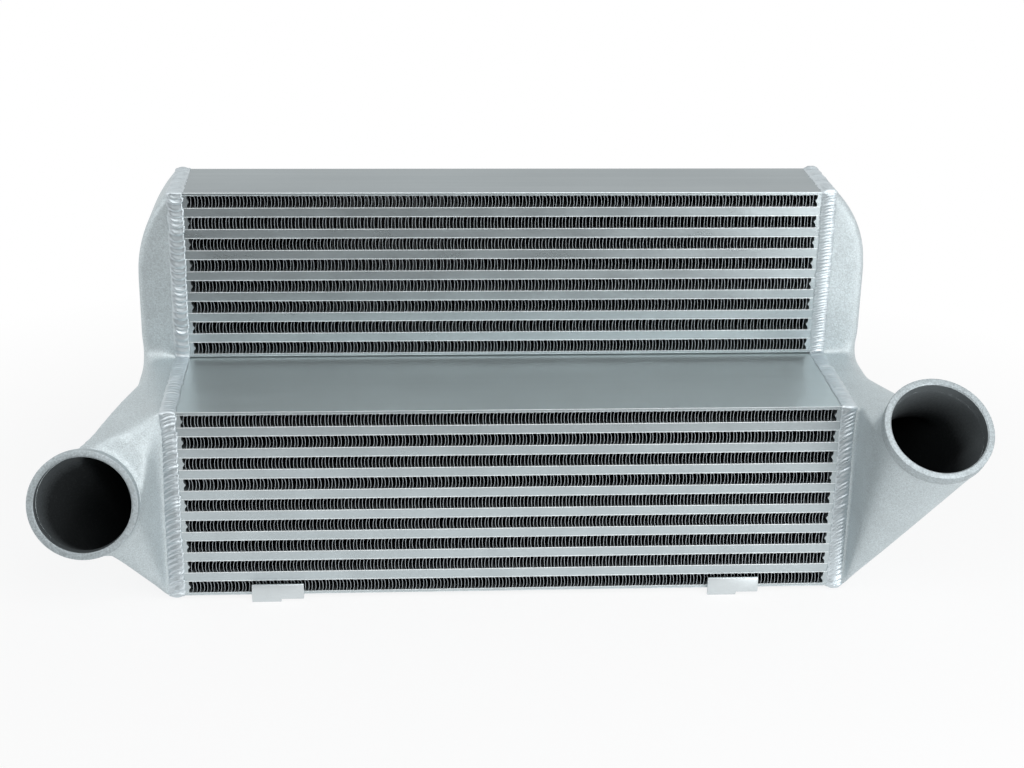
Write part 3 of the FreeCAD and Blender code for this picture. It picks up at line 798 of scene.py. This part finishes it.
def make_tank(side_name, joint):
    """The casting: its CAD form with blended edges, cut off behind the turned land of the port."""
    side = SIDES[side_name]
    node = side_name + "_end_tank"
    centre, axis, radius = mount(side_name + "_port")
    mouth = centre + axis * PORT_LENGTH / 2
    plate_low, plate_high = node_box("lower_top_plate")
    ledge = plate_high.z
    corner = Vector((joint + side * CORNER_OUT[side_name], plate_low.y + CORNER_BACK, ledge))
    brow = Vector((joint + side * BROW_OUT, plate_low.y, ledge - BROW_DROP))

    def away_from_port(place):
        behind = (mouth - place).dot(axis)
        beside = ((place - mouth) + axis * behind).length
        return ramp(behind, *PORT_SOFTENING) if beside < PORT_GUARD_RADIUS * radius else 1.0

    def all_over(place):
        away = abs(place.x - joint)
        on_side = ramp(away, *SIDE_SOFTENING) ** SIDE_POWER
        on_top = ramp(place.z - ledge, *TOP_SOFTENING) * ramp(away, *TOP_EDGE)
        in_front = ramp(ledge - place.z, *FRONT_SOFTENING) * ramp(away, *FRONT_EDGE)
        return max(on_side, on_top, in_front) * away_from_port(place)

    def at_sharp_spots(place):
        away = abs(place.x - joint)
        at_corner = bell((place - corner).length, SPOT_REACH)
        at_brow = bell((place - brow).length, SPOT_REACH)
        at_brow *= ramp(ledge - place.z, *BROW_SOFTENING) * ramp(away, *BROW_EDGE)
        at_ledge = bell(place.z - ledge, LEDGE_HEIGHT) * ramp(away, *LEDGE_EDGE[side_name])
        return max(at_corner, at_brow, at_ledge) * away_from_port(place)

    work = thick_tank(node, joint, mouth, axis, away_from_port)
    if side_name == "right":
        add_rod(work, *PATCH_LINE, PATCH_RADIUS)
    mesh = bpy.data.meshes.new(side_name + "_tank_casting")
    work.to_mesh(mesh)
    work.free()
    piece = add_piece(side_name + "_tank_casting", mesh, CAST, [node])
    change = piece.modifiers.new("remesh", "REMESH")
    change.mode = "VOXEL"
    change.voxel_size = CAST_VOXEL
    apply_modifiers(piece)
    relax(piece, all_over, CAST_SMOOTHING)
    relax(piece, at_sharp_spots, CORNER_SMOOTHING)
    # The inside of the casting gets the material with painted shade, darker deeper behind the mouth
    piece.data.materials.append(INNER_SHADE)
    work = bmesh.new()
    work.from_mesh(piece.data)
    depth = work.verts.layers.float.new("depth")
    for vertex in work.verts:
        vertex[depth] = bore_depth(side_name, mouth, axis, vertex.co)
    cut = mouth - axis * (PORT_LENGTH - RING_OVERLAP)
    whole = work.verts[:] + work.edges[:] + work.faces[:]
    found = bmesh.ops.bisect_plane(work, geom=whole, plane_co=cut, plane_no=axis, clear_outer=True)
    edges = [item for item in found["geom_cut"] if isinstance(item, bmesh.types.BMEdge)]
    mark_cavity(work, joint)
    bmesh.ops.bridge_loops(work, edges=edges)
    work.to_mesh(piece.data)
    work.free()
    piece.data.shade_smooth()
    make_port_ring(side_name, mouth, axis, radius)


def bore_depth(side_name, mouth, axis, place):
    """How deep a place lies behind the mouth of a port, from 0 to 1 where the bore's painted shade is
    full.
    """
    return ramp((mouth - place).dot(axis), 0.0, BORE_SHADE_FADE[side_name])


def mark_cavity(work, joint):
    """Gives the second material, the painted shade of the inside, to the faces that lie behind the
    rim, seen from the outside.
    """
    reach = {face: abs(face.calc_center_median().x - joint) for face in work.faces}
    first = max(work.faces, key=reach.get)
    reached = {first}
    waiting = [first]
    while waiting:
        for edge in waiting.pop().edges:
            for face in edge.link_faces:
                if face not in reached and reach[face] > RIM_REACH:
                    reached.add(face)
                    waiting.append(face)
    for face in work.faces:
        face.material_index = 0 if face in reached or reach[face] <= RIM_REACH else 1


def thick_tank(node, joint, mouth, axis, share):
    """A tank's CAD mesh with its wall thickened inwards."""
    work = bmesh.new()
    work.from_mesh(frame["nodes"][node].data)
    bmesh.ops.remove_doubles(work, verts=work.verts, dist=CAD_MERGE)
    work.faces.index_update()
    work.verts.index_update()
    outside = outer_faces(work, joint, mouth, axis)
    for vertex in work.verts:
        if not any(face.index in outside for face in vertex.link_faces):
            into = sum((face.normal for face in vertex.link_faces), Vector()).normalized()
            vertex.co += into * WALL_SPARE * share(vertex.co)
    return work


def outer_faces(work, joint, mouth, axis):
    """The numbers of a tank's outer faces: those that see out in enough directions.

    For that test, cards close the joint and the port.
    """
    points = [vertex.co.copy() for vertex in work.verts]
    polygons = [[corner.index for corner in face.verts] for face in work.faces]
    for card in joint_cards(joint) + [port_card(mouth, axis)]:
        polygons.append(list(range(len(points), len(points) + len(card))))
        points.extend(card)
    tree = BVHTree.FromPolygons(points, polygons)
    spread = [way * SIGHT_SPREAD for way in sphere_points(SIGHT_LINES)]
    outside = set()
    for face in work.faces:
        at_joint = all(abs(corner.co.x - joint) < TOUCH for corner in face.verts)
        at_mouth = all(abs((corner.co - mouth).dot(axis)) < TOUCH for corner in face.verts)
        start = face.calc_center_median() + face.normal * TOUCH
        hits = [tree.ray_cast(start, (face.normal + way).normalized())[0] for way in spread]
        free = hits.count(None)
        if at_joint or at_mouth or free > FREE_SHARE * SIGHT_LINES:
            outside.add(face.index)
    return outside


def joint_cards(joint):
    """Two rectangles that cover the step-shaped ends of the cores."""
    corners = step_corners()
    front, floor = corners[0]
    back, top = corners[2]
    upper_front, ledge = corners[4]
    cards = []
    for near, low, high in ((front, floor, ledge), (upper_front, ledge, top)):
        card = ((near, low), (back, low), (back, high), (near, high))
        cards.append([Vector((joint, y, z)) for y, z in card])
    return cards


def port_card(mouth, axis):
    """A square that covers the mouth of a port."""
    across, beside = spokes(axis)
    square = ((-1, -1), (1, -1), (1, 1), (-1, 1))
    reach = PORT_CARD * PORT_BORE
    return [mouth + (across * first + beside * second) * reach for first, second in square]


def spokes(axis):
    """Two directions at right angles to an axis and to each other."""
    across = axis.cross(Vector((1.0, 0.0, 0.0))).normalized()
    return across, axis.cross(across)


def add_rod(work, start, end, radius):
    """Adds a short closed rod, which the remeshing melts into the casting."""
    start, end = Vector(start), Vector(end)
    way = end - start
    turn = way.to_track_quat("Z", "Y").to_matrix().to_4x4()
    bmesh.ops.create_cone(
        work, cap_ends=True, segments=PATCH_SIDES, radius1=radius, radius2=radius, depth=way.length,
        matrix=Matrix.Translation((start + end) / 2) @ turn)


def sphere_points(count):
    """Evenly spread directions."""
    golden_turn = math.pi * (3.0 - math.sqrt(5.0))
    ways = []
    for number in range(count):
        up = 1.0 - 2.0 * (number + 0.5) / count
        ring = math.sqrt(1.0 - up * up)
        turn = golden_turn * number
        ways.append(Vector((ring * math.cos(turn), ring * math.sin(turn), up)))
    return ways


def ramp(value, start, way):
    """0 up to a start, and then a straight rise to 1 over a way."""
    return min(1.0, max(0.0, (value - start) / way))


def bell(value, reach):
    """1 at zero, and a smooth fall to nothing on both sides."""
    return math.exp(-(value / reach) ** 2)


def relax(piece, weight, rounds):
    """Smooths a piece's mesh by a weight that depends on the place."""
    group = piece.vertex_groups.new(name="free")
    for vertex in piece.data.vertices:
        share = weight(vertex.co)
        if share > LEAST_SMOOTHING:
            group.add([vertex.index], share, "REPLACE")
    smooth = piece.modifiers.new("relax", "SMOOTH")
    smooth.factor = SMOOTHING_STEP
    smooth.iterations = rounds
    smooth.vertex_group = "free"
    apply_modifiers(piece)
    piece.vertex_groups.clear()


def make_port_ring(side_name, mouth, axis, radius):
    """The turned ring at the mouth of a port, with eased edges."""
    back = PORT_LENGTH
    ease = PORT_EASE
    rim = radius - RING_SPARE
    outline = [
        (PORT_BORE - ROOT_STEP, -back), (PORT_BORE, -back + 3 * ROOT_STEP),
        (PORT_BORE, -ease), (PORT_BORE + ease, 0.0),
        (rim - ease, 0.0), (rim - SHOULDER * ease, -SHOULDER * ease), (rim, -ease),
        (rim, -back + ROOT_STEP), (rim - ROOT_STEP, -back)]
    across, beside = spokes(axis)
    points = []
    faces = []
    width = len(outline)
    for turn in range(PORT_TURNS):
        angle = 2 * math.pi * turn / PORT_TURNS
        spoke = across * math.cos(angle) + beside * math.sin(angle)
        points.extend(mouth + spoke * out + axis * along for out, along in outline)
    for turn in range(PORT_TURNS):
        faces.extend(band(turn * width, (turn + 1) % PORT_TURNS * width, width))
    mesh = new_mesh(side_name + "_port_land", points, faces)
    add_piece(side_name + "_port_land", mesh, TURNED, [], RING_CREASE)
    # The bore gets the material with painted shade, darker deeper behind the mouth
    mesh.materials.append(INNER_SHADE)
    depth = mesh.attributes.new("depth", "FLOAT", "POINT")
    for vertex in mesh.vertices:
        depth.data[vertex.index].value = bore_depth(side_name, mouth, axis, vertex.co)
    for face in mesh.polygons:
        spoke = face.center - mouth
        spoke -= axis * spoke.dot(axis)
        if spoke.length < PORT_BORE + 2 * TOUCH:
            face.material_index = 1


# The object

for number, node in enumerate(sorted(name for name in frame["nodes"] if "_air_fin_" in name)):
    make_fin(node, number)
for node in sorted(frame["nodes"]):
    if "_charge_tube_" in node:
        make_tube(node)
    elif "_end_bars" in node:
        make_end_bars(node)
    elif node.endswith("_plate"):
        make_plate(node, mirrored=node.endswith("bottom_plate"))
    elif node.endswith("_bracket"):
        make_bracket(node)
    elif "_turbulator_" in node:
        frame["nodes"][node].data.materials.clear()
        frame["nodes"][node].data.materials.append(HIDDEN)
core_low, core_high = node_box("lower_bottom_plate")
joints = {"left": core_low.x, "right": core_high.x}
for side_name, joint in joints.items():
    make_bead(side_name, joint)
for side_name, joint in joints.items():
    make_tank(side_name, joint)


# Floor, light and camera

def make_floor():
    """A plain white floor, with the part's shadow near the part and pure white further out."""
    points = [(-FLOOR_REACH, -FLOOR_REACH, 0), (FLOOR_REACH, -FLOOR_REACH, 0),
              (FLOOR_REACH, FLOOR_REACH, 0), (-FLOOR_REACH, FLOOR_REACH, 0)]
    mesh = new_mesh("studio_floor", points, [(0, 1, 2, 3)])
    floor = add_object("studio_floor", mesh)
    material, shader = start_material("studio_white", (0.92, 0.93, 0.94), 0.0, 0.9)
    mesh.materials.append(material)
    nodes = material.node_tree.nodes
    links = material.node_tree.links
    place = nodes.new("ShaderNodeTexCoord")
    distance = nodes.new("ShaderNodeVectorMath")
    distance.operation = "LENGTH"
    links.new(place.outputs["Object"], distance.inputs[0])
    away = add_range(material, distance.outputs["Value"], FLOOR_GLOW, 1.0, *SHADOW_REACH)
    seen = nodes.new("ShaderNodeMath")
    seen.operation = "MULTIPLY"
    links.new(away, seen.inputs[0])
    links.new(seen_directly(nodes, links), seen.inputs[1])
    glow = nodes.new("ShaderNodeEmission")
    mix = nodes.new("ShaderNodeMixShader")
    links.new(seen.outputs["Value"], mix.inputs["Fac"])
    links.new(shader.outputs["BSDF"], mix.inputs[1])
    links.new(glow.outputs["Emission"], mix.inputs[2])
    links.new(mix.outputs["Shader"], nodes["Material Output"].inputs["Surface"])


def seen_directly(nodes, links):
    """1 for what the camera, a mirror or a glass sees, and 0 for diffuse light."""
    path = nodes.new("ShaderNodeLightPath")
    total = path.outputs["Is Camera Ray"]
    for name in ("Is Glossy Ray", "Is Transmission Ray"):
        larger = nodes.new("ShaderNodeMath")
        larger.operation = "MAXIMUM"
        links.new(total, larger.inputs[0])
        links.new(path.outputs[name], larger.inputs[1])
        total = larger.outputs["Value"]
    return total


def make_dark_card():
    """A dark card before the part that bends up, out of the picture. It shows in metal only."""
    near, far, half_width, height = DARK_CARD
    outline = [(near, DARK_CARD_LIFT), (far, DARK_CARD_LIFT), (far, height)]
    points = []
    for along, up in outline:
        points.append((-half_width, along, up))
        points.append((half_width, along, up))
    mesh = new_mesh("dark_card", points, [(0, 1, 3, 2), (2, 3, 5, 4)])
    card = add_object("dark_card", mesh)
    material, _ = start_material("card_black", (0.012, 0.012, 0.012), 0.0, 0.9)
    mesh.materials.append(material)
    card.visible_camera = False
    card.visible_diffuse = False
    card.visible_shadow = False
    card.visible_transmission = False


def add_lamp(name, place, target, width, height, power):
    """A soft box that shines at a point."""
    light = bpy.data.lights.new(name, "AREA")
    light.shape = "RECTANGLE"
    light.size = width
    light.size_y = height
    light.energy = power
    lamp = add_object(name, light)
    lamp.location = place
    lamp.rotation_euler = (Vector(target) - Vector(place)).to_track_quat("-Z", "Y").to_euler()


def make_world():
    """White where it is seen or mirrored, and a softer pale light elsewhere."""
    world = bpy.data.worlds.new("studio_air")
    bpy.context.scene.world = world
    world.use_nodes = True
    nodes = world.node_tree.nodes
    links = world.node_tree.links
    background = nodes["Background"]
    background.inputs["Color"].default_value = (1.0, 1.0, 1.0, 1.0)
    strength = nodes.new("ShaderNodeMapRange")
    strength.inputs["To Min"].default_value = WORLD_LIGHT
    strength.inputs["To Max"].default_value = 1.0
    links.new(seen_directly(nodes, links), strength.inputs["Value"])
    links.new(strength.outputs["Result"], background.inputs["Strength"])


def make_camera():
    """The photograph's point of view."""
    data = bpy.data.cameras.new("view")
    data.lens = CAMERA_LENS
    data.sensor_width = SENSOR_WIDTH
    data.sensor_fit = "HORIZONTAL"
    camera = add_object("view", data)
    camera.location = CAMERA_PLACE
    camera.rotation_euler = Euler([math.radians(angle) for angle in CAMERA_TURN])
    bpy.context.scene.camera = camera


make_floor()
make_dark_card()
make_world()
add_lamp("key_lamp", (0.45, -1.45, 1.6), (0.0, 0.0, 0.12), 1.6, 1.2, 17.0)
add_lamp("low_lamp", (0.75, -0.85, 0.20), (0.2, 0.0, 0.13), 0.7, 0.30, 5.0)
add_lamp("left_lamp", (-1.6, -0.9, 1.1), (-0.25, 0.0, 0.2), 0.8, 1.0, 6.0)
make_camera()
bpy.context.scene.view_settings.view_transform = "Standard"
